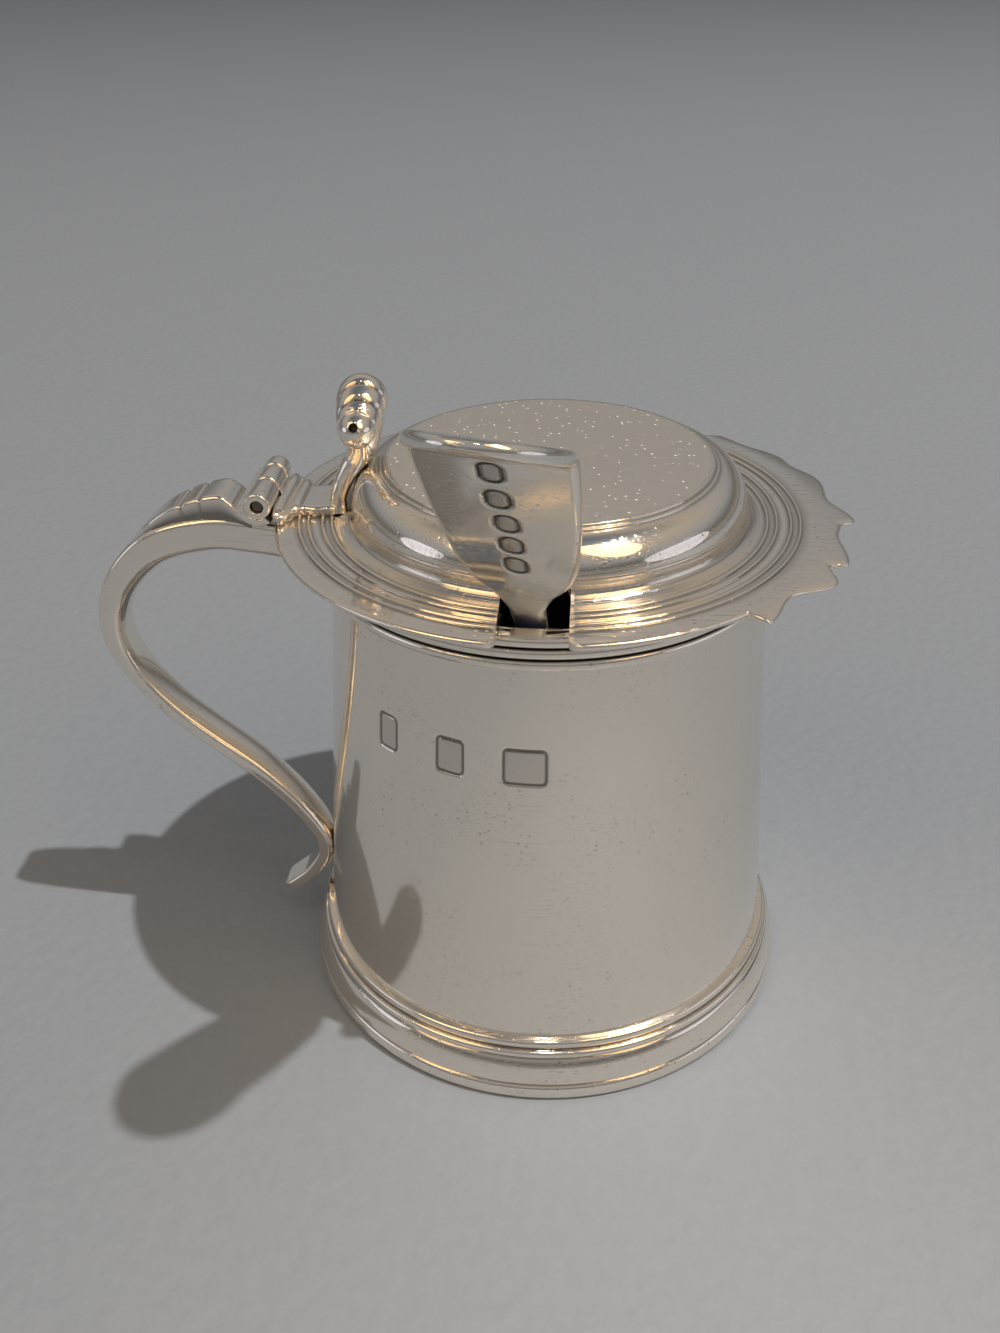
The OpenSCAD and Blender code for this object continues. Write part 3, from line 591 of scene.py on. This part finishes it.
# Cusps and hollows of the peak, from the notch's side on: angle in degrees and share of its reach
peak_keys = np.array([(-48.8, 0), (-47.6, 0.68), (-37.5, 0.22), (-27.2, 0.95), (-22, 0.44), (-19.3, 0.92),
                      (-8, 0.42), (-4, 0.5), (0, 1.08), (8.5, 0.52), (20, 0.92), (27, 0.6), (32.5, 0.78),
                      (42, 0.36), (48.5, 0.5), (51, 0)])


def peak_edge(angles):
    """Radius of the lid's edge: the flange's, and at the front the peak's cusps and hollows, each eased into
    the next."""
    a = np.degrees((angles + np.pi) % (2 * np.pi) - np.pi)
    k = np.clip(np.searchsorted(peak_keys[:, 0], a, "right") - 1, 0, len(peak_keys) - 2)
    start, end = peak_keys[k], peak_keys[k + 1]
    u = smooth((a - start[:, 0]) / (end[:, 0] - start[:, 0]))
    return flange_r + (peak_r - flange_r) * (start[:, 1] + (end[:, 1] - start[:, 1]) * u)


# The columns run from the notch round to the notch, close together at the peak
lid_angles = np.radians(np.concatenate([np.linspace(-90, -50, 28)[:-1], np.linspace(-50, 52, 154)[:-1],
                                        peak_keys[1:-1, 0], np.linspace(52, 270, 140)]))
lid_angles.sort()
lid_run = run_along(top_line)
shoulder_run = lid_run[len(flat_line) + len(step_line):][:len(shoulder_line)]
# The notch opens in a round end on the shoulder and flares at the lid's edge
notch_x, notch_half, notch_z, notch_end, notch_flare = -0.4, 3.4, 62.9, 1.2, 1.2
notch_start = np.interp(-notch_z, -shoulder_line[:, 1], shoulder_run)
notch_opened = np.clip((lid_run - notch_start) / notch_end, 0, 1)
notch_flared = np.clip((top_line[:, 0] - flange_r + notch_flare) / notch_flare, 0, 1)
notch_wide = (notch_half * np.sqrt(1 - (1 - notch_opened) ** 2)
              + notch_flare * (1 - np.sqrt(1 - notch_flared ** 2)))[:, None]
notch_row = np.argmax(notch_opened > 0) - 1
notch_ease, least_r, peak_droop = np.radians(40), 10, 0.4


def lid_sheet(line):
    """One side of the lid: turned about Z, the flange stretched out to the peak, the angles drawn apart at
    the notch. A column at d degrees from the notch moves by the notch's own angle times (1 - d/40)^2."""
    r = line[:, :1]
    reach = (peak_edge(lid_angles)[None, :] - band_start) / (flange_r - band_start)
    r_out = np.where(r > band_start, band_start + (r - band_start) * reach, r)
    near = np.clip(1 - (lid_angles - lid_angles[0]) / notch_ease, 0, 1) ** 2
    far = np.clip(1 - (lid_angles[-1] - lid_angles) / notch_ease, 0, 1) ** 2
    right = np.arcsin(np.clip((notch_x + notch_wide) / np.maximum(r_out, least_r), -0.5, 0.5))
    left = np.arcsin(np.clip((notch_x - notch_wide) / np.maximum(r_out, least_r), -0.5, 0.5))
    a = lid_angles + right * near + left * far
    droop = peak_droop * (np.maximum(r_out - flange_r, 0) / (peak_r - flange_r))
    return np.stack([r_out * np.cos(a), r_out * np.sin(a), line[:, 1:] - droop], -1)


lid_upper, lid_under = lid_sheet(top_line), lid_sheet(under_line)
notch_walls = [shell(np.stack([lid_upper[notch_row:, k], lid_under[notch_row:, k]], 1), close_cols=False)
               for k in (0, -1)]
# Tarnish lies in the steps, along both sides of each ring and in the lines of the turning tool, about half
# a millimetre apart and uneven
step_marks = hollows(np.vstack([top_line, under_line[::-1]]), 0.35, 0.12)[:len(top_line)]
ring_side = np.abs(np.min(np.abs(top_line[:, :1] - ring_at), 1) - ring_w)
ring_marks = smooth(1 - ring_side / 0.08)
tool_pitch, tool_drift, drift_pace = 0.53, 1.6, 1.9
tool_wave = np.sin(2 * np.pi * lid_run / tool_pitch + tool_drift * np.sin(drift_pace * lid_run))
before_rings = (top_line[:, 0] > dome_r + 0.4) & (top_line[:, 0] < ring_at[0] - ring_w)
tool_marks = smooth(3 * tool_wave - 1.7) * before_rings
lid_marks = np.maximum(0.45 * step_marks, np.maximum(0.6 * ring_marks, 0.5 * tool_marks))
satin_rows = (top_line[:, 0] < top_r - 0.25).astype(float)
# The turning tool left fine lines from the foot of the shoulder to the first ring
lined_z = shoulder_z + 1.2
lined_rows = np.clip(lid_run, np.interp(-lined_z, -shoulder_line[:, 1], shoulder_run),
                     np.interp(ring_at[0] - ring_w, top_line[:, 0], lid_run))
add_piece("lid", "lid_cover", "lid", "silver", polished,
          [shell(lid_upper, close_cols=False), shell(lid_under, close_cols=False), *notch_walls],
          tarnish=(0, np.repeat(lid_marks, len(lid_angles))),
          satin=(0, np.repeat(satin_rows, len(lid_angles))),
          turned=(0, np.repeat(lined_rows, len(lid_angles))))

# Bezel
# A strip of silver bent to a ring and soldered under the flange, so that the lid sits in the mouth.
# It is cut away at the notch.
bezel_low, bezel_r = box_mm("lid_bezel")[0][2], box_mm("lid_bezel")[1][0]
bezel_t, bezel_edge = 0.9, 0.3
bezel_line = rounded([(bezel_r - bezel_t, bezel_low, bezel_edge), (bezel_r, bezel_low, bezel_edge),
                      (bezel_r, flange_z, 0), (bezel_r - bezel_t, flange_z, 0)])
cut_right, cut_left = np.arcsin((notch_half + np.array([notch_x, -notch_x])) / bezel_r)
bezel_angles = np.linspace(-np.pi / 2 + cut_right, 1.5 * np.pi - cut_left, 240)
add_piece("bezel", "lid_bezel", "lid", "silver", polished,
          [shell(capped(turned(bezel_line, bezel_angles).transpose(1, 0, 2)))])

# Hinge strap on the lid
# A cast strap soldered over the rings of the flange: a plate that flares towards the barrel, with two rounded
# ridges across it and a web to the middle knuckle. Its edges are filed thin and wavy.


def oblong(half_w, thick, flat_steps, turn_steps):
    """Sections with flat faces and half-round edges: for each half width w and thickness t the loop of
    ((w - t/2) c + t/2 cos a, t/2 sin a), where c runs across the faces and a round the edges."""
    c = np.linspace(1, -1, flat_steps)
    a = np.radians(np.linspace(-90, 90, turn_steps))
    wide = np.concatenate([1 + 0 * a, c[1:-1], -1 + 0 * a, c[::-1][1:-1]])
    edge = np.concatenate([np.cos(a), 0 * c[1:-1], -np.cos(a), 0 * c[1:-1]])
    up = np.concatenate([np.sin(a), 1 + 0 * c[1:-1], np.sin(a[::-1]), -1 + 0 * c[1:-1]])
    w, t = half_w[:, None], thick[:, None]
    return np.stack([np.maximum(w - t / 2, 0) * wide + np.minimum(t / 2, w) * edge, t / 2 * up], -1)


thumb_x = -(dome_r + 1.4)
plate_low, plate_t, plate_sunk = flange_top + 0.2, 0.8, 0.5
plate_x = np.linspace(hinge_x + knuckle_r + 0.45, thumb_x - 0.3, 60)
waist_half, flare_x, flare_l, flare_w, wave_w = 3.2, -26.4, 2.6, 2.5, 0.16
plate_half = (waist_half + flare_w * smooth((flare_x - plate_x) / flare_l)
              + wave_w * np.sin((plate_x + 23) * 2.1))
plate_loops = oblong(plate_half, plate_t + 0 * plate_x, 24, 7)
plate_under = plate_loops[..., 1] < 0
plate_rings = np.stack([plate_x[:, None] + 0 * plate_loops[..., 0], plate_loops[..., 0],
                        plate_low + plate_t / 2 + plate_loops[..., 1] - plate_sunk * plate_under], -1)
ridge_at = (-29.1, -27.45)
ridges = []
for ridge_x, ridge_r in zip(ridge_at, (0.78, 0.7)):
    ridge_half = np.interp(-ridge_x, -plate_x[::-1], plate_half[::-1]) + 0.1
    ridge_y = ridge_half * np.sin(np.linspace(-np.pi / 2, np.pi / 2, 31))
    ridge_bead = ridge_r * np.sqrt(np.maximum(1 - np.abs(ridge_y / ridge_half) ** 6, 0))
    ridge_line = np.stack([ridge_y, ridge_bead], -1)
    ridges.append(shell(spun(ridge_line, ridge_x, plate_low + plate_t - 0.1, tube_turn)))
web_low, web_high = box_mm("hinge_knuckle_lid")[:, 1]
web_edge = 0.1
web_line = rounded([
    (hinge_x + 0.9, hinge_z - 1.0, web_edge), (ridge_at[0] - 0.5, plate_low, web_edge),
    (ridge_at[0] + 0.2, plate_low + plate_t, web_edge), (hinge_x + 1.3, hinge_z + 0.1, web_edge)])
plate_shells = [shell(capped(plate_rings)), *ridges,
                extruded(web_line, web_low, web_high, web_edge)]
# The plate's underside is darkened with the tarnish mark as painted shade for the gap over the flange
add_piece("lid_hinge_strap", "lid_strap", "lid", "silver", polished, plate_shells,
          tarnish=(plate_loops.shape[1], 0.75 * plate_under))

# Thumbpiece
# A casting that stands on the lid's strap: a leg that leans in over the lid and carries a double corkscrew,
# two coiled horns wound away from the middle, each ending in a small ball with a dimple.
scroll_r, horn_r = 2.65, 2.1
scroll_x, scroll_z = thumb_x + 3, box_mm("thumbpiece")[1][2] - scroll_r
eye_y, eye_drop, eye_r = 4.4, 1.9, 1.95
coil_pitch, coil_deep = 1.85, 0.13
coil_y = np.linspace(-eye_y, eye_y, 121)
coil_turn = np.linspace(0, 2 * np.pi, 96, endpoint=False)
outer_share = np.abs(coil_y) / eye_y
horn_start = smooth(outer_share * 4)[:, None]
coil_r = scroll_r - (scroll_r - horn_r) * outer_share ** 1.6
coil_drop = eye_drop * outer_share ** 1.7
# A groove winds outwards along each horn: its depth follows |cos| of the way along the axis less the turn
wound = np.abs(np.cos(np.pi * (np.abs(coil_y)[:, None] / coil_pitch - coil_turn / (2 * np.pi))))
coil = coil_r[:, None] * (1 - coil_deep * (1 - wound) ** 2.2 * horn_start)
coil_points = np.stack([scroll_x + coil * np.cos(coil_turn), coil_y[:, None] + 0 * coil_turn,
                        scroll_z - coil_drop[:, None] + coil * np.sin(coil_turn)], -1)
coil_tarnish = np.clip((1 - wound) ** 3, 0, 1) * horn_start
# Each ball has a drilled dimple on its outer end, turned a little upwards
dimple_r, dimple_edge, dimple_deep, eye_tilt = 0.5, 0.2, 0.7, np.radians(28)
eye_turn = np.radians(np.linspace(0, 180, 49))
ball_line = np.stack([-np.cos(eye_turn), np.sin(eye_turn)], -1) * eye_r
drilled = smooth((dimple_r - ball_line[:, 1]) / dimple_edge) * (eye_turn < np.pi / 2)
ball_line[:, 0] += dimple_deep * drilled
ball = spun(ball_line, 0, 0, tube_turn)
ball_out = ball[..., 1] * np.cos(eye_tilt) + ball[..., 2] * np.sin(eye_tilt)
ball_up = ball[..., 2] * np.cos(eye_tilt) - ball[..., 1] * np.sin(eye_tilt)
balls = [shell(np.stack([scroll_x + ball[..., 0], -side * (ball_out - eye_y),
                         scroll_z - eye_drop + ball_up], -1)) for side in (-1, 1)]
leg_line = smooth_line([(thumb_x - 0.1, plate_low), (thumb_x + 0.1, plate_low + 2.0),
                        (thumb_x + 1.1, plate_low + 4.2), (scroll_x - 0.2, scroll_z - 5.0),
                        (scroll_x - 0.1, scroll_z - 2.2), (scroll_x, scroll_z - 0.6)], 10)
leg_share = np.linspace(0, 1, len(leg_line))
leg_half = np.interp(leg_share, [0, 0.3, 0.5, 0.75, 1], [3.0, 2.6, 2.6, 4.0, 4.5])
leg_thick = np.interp(leg_share, [0, 0.15, 0.4, 0.6, 0.8, 1], [2.0, 1.8, 2.1, 3.1, 4.6, 4.8])
leg_way = unit(np.gradient(leg_line, axis=0))
leg_loops = oblong(leg_half, leg_thick, 14, 9)
leg_rings = np.stack([leg_line[:, :1] + leg_way[:, 1:] * leg_loops[..., 1], leg_loops[..., 0],
                      leg_line[:, 1:] - leg_way[:, :1] * leg_loops[..., 1]], -1)
thumb_shells = [shell(capped(coil_points)), *balls, shell(capped(leg_rings))]
eye_tarnish = np.tile(np.repeat(drilled, len(tube_turn)), 2)
thumb_tarnish = np.concatenate([coil_tarnish.ravel(), 0 * coil_turn, eye_tarnish])
add_piece("thumb_scroll", "thumbpiece", "lid", "silver", polished, thumb_shells,
          tarnish=(len(coil_turn), thumb_tarnish))

# Mustard spoon
# Cut and hammered from one strip of silver: a fiddle-shaped plate whose round end is bent forward,
# a narrow stem and a small bowl. Five small blank punches run down the face of the plate.
spoon_t, stem_l, bowl_l, bowl_lap = 1.3, 30.0, 14.0, 0.6
fiddle_l, fiddle_half, end_l, end_bend, bend_l = 30.0, 6.7, 8.5, 31, 2.4
bowl_r, bowl_deep, bowl_rise, bowl_thin = 2.3, 1.5, 0.6, 0.5
bowl_share = np.linspace(1, 0.02, 40)
bowl_tip = np.sqrt(1 - 0.99 * np.clip((bowl_share - 0.88) / 0.12, 0, 1) ** 2)
bowl_half = bowl_r * np.sqrt(1 - 0.84 * (2 * bowl_share - 1) ** 2) * bowl_tip
# Half widths of the stem and the plate, with their places along the spoon from the rim of the pot
stem_low, neck = -29, 8
fiddle = smooth_line([
    (1.2, stem_low), (1.5, -14.0), (1.75, -0.5), (2.0, 2.2), (3.0, 5.0), (4.4, 7.4), (5.5, 11.0),
    (5.95, 15.0), (6.4, 20.0), (6.65, 25.5), (fiddle_half, fiddle_l)], 20)
fiddle_s = np.concatenate([np.linspace(stem_low, neck, 60)[:-1], np.linspace(neck, fiddle_l, 170)])
end_turn = np.radians(np.linspace(0, 88, 40))[1:]
spoon_s = np.concatenate([bowl_lap - stem_l - bowl_l * bowl_share, fiddle_s,
                          fiddle_l + end_l * np.sin(end_turn)])
spoon_half = np.concatenate([bowl_half, np.interp(fiddle_s, fiddle[:, 1], fiddle[:, 0]),
                             fiddle_half * np.cos(end_turn)])
in_bowl = np.concatenate([bowl_share, 0 * fiddle_s, 0 * end_turn])
bowl_start = smooth(in_bowl / 0.2)
end_share = np.clip((spoon_s - fiddle_l) / end_l, 0, 1)
spoon_thick = (spoon_t - bowl_thin * bowl_start) * np.sqrt(1 - 0.9 * end_share ** 8)
spoon_loops = oblong(spoon_half, spoon_thick, 60, 9)
spoon_x, spoon_y = spoon_loops[..., 0], spoon_loops[..., 1]
dish = bowl_deep * np.sin(np.radians(150 * in_bowl + 15)) * smooth(in_bowl / 0.12)
dished = dish[:, None] * (spoon_x / spoon_half[:, None]) ** 2
spoon_y = spoon_y + dished + (bowl_rise * in_bowl ** 2 - bowl_thin / 2 * bowl_start)[:, None]
mark_w, mark_h, mark_corner, mark_deep = 2.5, 3.3, 1.2, 0.15
mark_places = ((-0.3, 27.2), (-0.2, 23.1), (0.1, 19.1), (0.1, 15.3), (0.1, 11.5))
struck = sum(punched(spoon_x - mark_x, spoon_s[:, None] - mark_s, mark_w, mark_h, mark_corner, mark_deep)
             for mark_x, mark_s in mark_places)
struck = struck * (spoon_y < 0) * (in_bowl[:, None] == 0)
spoon_y = spoon_y + struck
# The end turns forward about the bend: the middle line adds up (-sin, cos) of the lean so far
end_lean = np.radians(end_bend) * smooth((spoon_s - fiddle_l + bend_l / 2) / bend_l)
spoon_step = np.diff(spoon_s, prepend=spoon_s[0])
middle_y = np.cumsum(-np.sin(end_lean) * spoon_step)
middle_s = spoon_s[0] + np.cumsum(np.cos(end_lean) * spoon_step)
spoon_points = capped(np.stack([spoon_x, middle_y[:, None] + spoon_y * np.cos(end_lean)[:, None],
                                middle_s[:, None] + spoon_y * np.sin(end_lean)[:, None]], -1))


def turn_about(axis, degrees):
    """Rotation matrix about one of the axes X, Y and Z."""
    return np.array(Matrix.Rotation(np.radians(degrees), 3, axis))


spoon_seat = np.array([-1.0, -22.05, 59.5])
spoon_yaw, spoon_lean, spoon_roll = -6, 37, -5
spoon_turn = turn_about("Z", spoon_yaw) @ turn_about("X", spoon_lean) @ turn_about("Z", spoon_roll)
spoon_silver = silver("hammered_spoon_silver", "#EDE9E1", 0.09, 0.35)
# The stem is satin up to the shoulders of the plate
satin_end, satin_fade = 7, 4
spoon_satin = np.pad(smooth((satin_end - spoon_s) / satin_fade), 1, "edge")
add_piece("spoon", "mustard_spoon", "spoon", "spoon_silver", spoon_silver,
          [shell(spoon_points @ spoon_turn.T + spoon_seat)],
          tarnish=(struck.shape[1], np.clip(struck / 0.1, 0, 1)),
          satin=(0, np.repeat(spoon_satin, struck.shape[1])))

# Floor
# A plain pale sheet of matt board under the pot.
# It takes the pot's shadow without a shine, and its grain is drawn coarse enough to show.
floor_mesh = bpy.data.meshes.new("floor")
floor_half = 8
floor_mesh.from_pydata([(-floor_half, -floor_half, 0), (floor_half, -floor_half, 0),
                        (floor_half, floor_half, 0), (-floor_half, floor_half, 0)], [], [(0, 1, 2, 3)])
floor = bpy.data.objects.new("floor", floor_mesh)
bpy.context.scene.collection.objects.link(floor)
board, board_tree, board_shader, board_place = new_finish("matt_board")
board_mm = 2
board_grain = add_node(board_tree, "ShaderNodeTexNoise",
                       {"Vector": board_place, "Scale": 1 / (board_mm * MM), "Detail": 3.0})
board_tint = add_node(board_tree, "ShaderNodeMix",
                      {"Factor": board_grain, "A": srgb("#868F9C"), "B": srgb("#8D96A3")}, data_type="RGBA")
board_relief = add_node(board_tree, "ShaderNodeBump",
                        {"Height": board_grain, "Strength": 0.5, "Distance": 0.5 * MM})
feed(board_tree, board_shader, {"Base Color": board_tint.outputs["Result"], "Normal": board_relief,
                                "Roughness": 0.8})
floor_mesh.materials.append(board)

# Light
# One small lamp high on the right, two dim golden panels in front, a white panel low on either side,
# a soft pool on the floor in front, and a grey surround.


def soft_box(name, place, target, width, height, watts, colour):
    """An oval area lamp at a place, facing a target, all in metres."""
    lamp = bpy.data.lights.new(name, "AREA")
    lamp.shape = "ELLIPSE"
    lamp.size = width
    lamp.size_y = height
    lamp.energy = watts
    lamp.color = srgb(colour)[:3]
    box = bpy.data.objects.new(name, lamp)
    back = unit(np.array(place) - np.array(target))
    side = unit(np.cross((0, 0, 1), back))
    basis = np.eye(4)
    basis[:3] = np.stack([side, np.cross(back, side), back, place], -1)
    box.matrix_world = Matrix(basis.tolist())
    bpy.context.scene.collection.objects.link(box)


soft_box("key_lamp", (0.868, -0.272, 2.0), (0, 0, 0.04), 0.04, 0.04, 33.0, "#FFF6EA")
soft_box("right_golden_panel", (0.9, -0.8, 1.5), (0, 0, 0.04), 0.9, 1.5, 7.0, "#FFD59A")
soft_box("left_golden_panel", (-1.0, -0.9, 1.5), (0, 0, 0.04), 0.9, 1.5, 5.5, "#FFD59A")
soft_box("left_white_panel", (-1.23, -0.42, 0.26), (0, 0, 0.06), 0.7, 0.45, 0.6, "#F4F2FF")
soft_box("right_white_panel", (1.27, -0.27, 0.26), (0, 0, 0.06), 1.1, 0.45, 0.8, "#F4F2FF")
pool = bpy.data.lights.new("front_spot", "SPOT")
pool.energy = 14.0
pool.color = srgb("#FFE8CC")[:3]
pool.spot_size = np.radians(10)
pool.spot_blend = 1.0
pool.shadow_soft_size = 0.05
pool_lamp = bpy.data.objects.new("front_spot", pool)
pool_lamp.location = (0.03, -0.35, 0.9)
pool_lamp.rotation_euler = (np.arctan2(0.28, 0.9), 0, 0)
bpy.context.scene.collection.objects.link(pool_lamp)
world = bpy.data.worlds.new("grey_surround")
world.use_nodes = True
world_tree = world.node_tree
upward = add_node(world_tree, "ShaderNodeSeparateXYZ",
                  {"Vector": add_node(world_tree, "ShaderNodeTexCoord").outputs["Generated"]}).outputs["Z"]
surround = add_node(world_tree, "ShaderNodeValToRGB", {"Fac": upward})
stops = surround.color_ramp.elements
stops[0].position, stops[0].color = 0.02, srgb("#8B857E")
stops[1].position, stops[1].color = 0.95, srgb("#5C646E")
for height, shade in ((0.16, "#5F5D5A"), (0.34, "#8F9093"), (0.5, "#9D9A97"), (0.72, "#A89D8E")):
    stops.new(height).color = srgb(shade)
feed(world_tree, world_tree.nodes["Background"], {"Color": surround})
bpy.context.scene.world = world

# Camera
# A camera close by, a little above the lid and in front of the notch, held not quite level.
camera_at = np.array((0.00458, -0.12872, 0.11875))
camera_sight = np.array((-0.06697, 0.85094, -0.52098))
level = np.array((0.99692, 0.07846, 0.0))
above = np.array((-0.04088, 0.51937, 0.85357))
camera_tilt = -0.012
camera_data = bpy.data.cameras.new("camera")
camera_data.lens = 34.386
camera_data.sensor_width = 36
camera_data.clip_start = 0.01
camera = bpy.data.objects.new("camera", camera_data)
camera_basis = np.eye(4)
camera_basis[:3, 0] = np.cos(camera_tilt) * level + np.sin(camera_tilt) * above
camera_basis[:3, 1] = np.cos(camera_tilt) * above - np.sin(camera_tilt) * level
camera_basis[:3, 2] = -camera_sight
camera_basis[:3, 3] = camera_at
camera.matrix_world = Matrix(camera_basis.tolist())
bpy.context.scene.collection.objects.link(camera)
bpy.context.scene.camera = camera
bpy.context.scene.view_settings.view_transform = "Standard"
